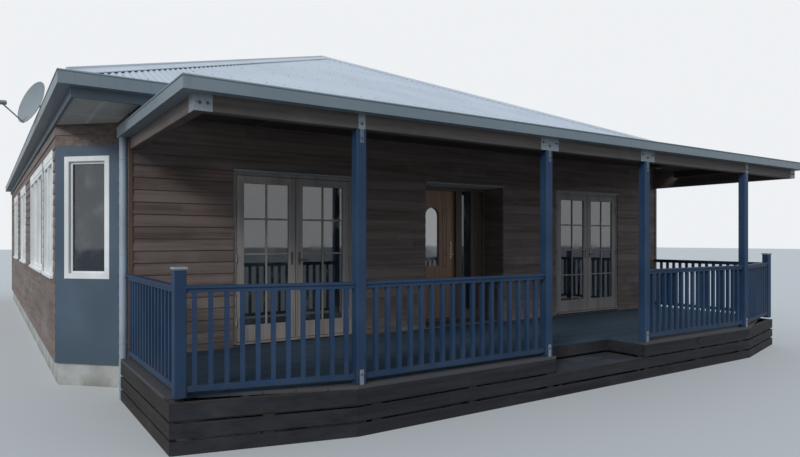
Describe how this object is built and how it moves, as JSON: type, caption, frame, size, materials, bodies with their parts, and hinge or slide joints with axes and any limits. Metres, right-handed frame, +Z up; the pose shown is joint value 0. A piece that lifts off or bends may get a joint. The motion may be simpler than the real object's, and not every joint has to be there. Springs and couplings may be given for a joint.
{
  "type": "timber beach house",
  "caption": "Single-storey timber beach house with a hipped steel roof, a full-width verandah on posts, a low railed deck, glazed double doors and a recessed entry",
  "frame": {"origin": "on the ground under the middle of the front wall's outer face", "axes": "+X along the front to the right seen from outside, +Y into the house, +Z up"},
  "size_m": [11.2019, 17.24, 5.5563],
  "materials": {
    "concrete": "rough grey concrete",
    "floor_boards": "varnished boards",
    "weatherboard": "brown stained, weathered",
    "panel_paint": "satin blue-grey paint",
    "white_paint": "satin white paint",
    "glass": "clear",
    "door_timber": "taupe-brown stained",
    "front_door_timber": "orange-brown varnished",
    "brass": "dull",
    "roof_steel": "light grey, weathered",
    "soffit_lining": "matt off-white paint",
    "gutter_steel": "satin grey-green",
    "rafter_timber": "dark stained",
    "beam_timber": "brown stained",
    "pipe_plastic": "pale blue-grey",
    "galvanised": "dull galvanised",
    "dish_grey": "matt light grey",
    "blue_paint": "slate blue paint",
    "deck_boards": "worn blue-grey stain",
    "skirting_timber": "dark brown stained, worn",
    "step_timber": "worn pale timber"
  },
  "bodies": {
    "house": {"foundation": "concrete", "floor": "floor_boards", "front_wall_left": "weatherboard", "front_wall_mid_left": "weatherboard", "front_wall_mid_right": "weatherboard", "front_wall_right": "weatherboard", "front_wall_head": "weatherboard", "left_corner_wall": "weatherboard", "right_corner_wall": "weatherboard", "left_side_wall": "weatherboard", "right_side_wall": "weatherboard", "back_wall": "weatherboard", "corner_panels": "panel_paint", "window_frames": "white_paint", "window_glass": "glass", "french_door_frames": "door_timber", "head_flashings": "galvanised", "entry_frame": "door_timber", "main_roof": "roof_steel", "roof_caps": "roof_steel", "soffit": "soffit_lining", "fascia": "gutter_steel", "main_gutter": "gutter_steel", "verandah_roof": "roof_steel", "verandah_rafters": "rafter_timber", "verandah_beams": "beam_timber", "verandah_gutter": "gutter_steel", "downpipes": "pipe_plastic", "post_brackets": "galvanised", "satellite_dish": "dish_grey", "verandah_posts": "blue_paint", "railings": "blue_paint", "deck_floor": "deck_boards", "deck_frame": "rafter_timber", "deck_piles": "rafter_timber", "deck_skirting": "skirting_timber", "entry_step": "step_timber"},
    "left_door_left_leaf": {"left_door_leaf_1": "door_timber", "left_door_glass_1": "glass"},
    "left_door_right_leaf": {"left_door_leaf_2": "door_timber", "left_door_glass_2": "glass"},
    "right_door_left_leaf": {"right_door_leaf_1": "door_timber", "right_door_glass_1": "glass"},
    "right_door_right_leaf": {"right_door_leaf_2": "door_timber", "right_door_glass_2": "glass"},
    "entry_door": {"front_door": "front_door_timber", "front_door_glass": "glass", "front_door_handle": "brass"}
  },
  "joints": [
    {"name": "left_door_left_hinge", "type": "hinge", "parent": "house", "child": "left_door_left_leaf", "pos_m": [-3.472, 0.003, 0.496], "axis": [0, 0, -1], "range_deg": [0, 95]},
    {"name": "left_door_right_hinge", "type": "hinge", "parent": "house", "child": "left_door_right_leaf", "pos_m": [-1.968, 0.003, 0.496], "axis": [0, 0, 1], "range_deg": [0, 95]},
    {"name": "right_door_left_hinge", "type": "hinge", "parent": "house", "child": "right_door_left_leaf", "pos_m": [1.968, 0.003, 0.496], "axis": [0, 0, -1], "range_deg": [0, 95]},
    {"name": "right_door_right_hinge", "type": "hinge", "parent": "house", "child": "right_door_right_leaf", "pos_m": [3.472, 0.003, 0.496], "axis": [0, 0, 1], "range_deg": [0, 95]},
    {"name": "front_door_hinge", "type": "hinge", "parent": "house", "child": "entry_door", "pos_m": [-0.702, 0.527, 0.496], "axis": [0, 0, 1], "range_deg": [0, 90]}
  ]
}
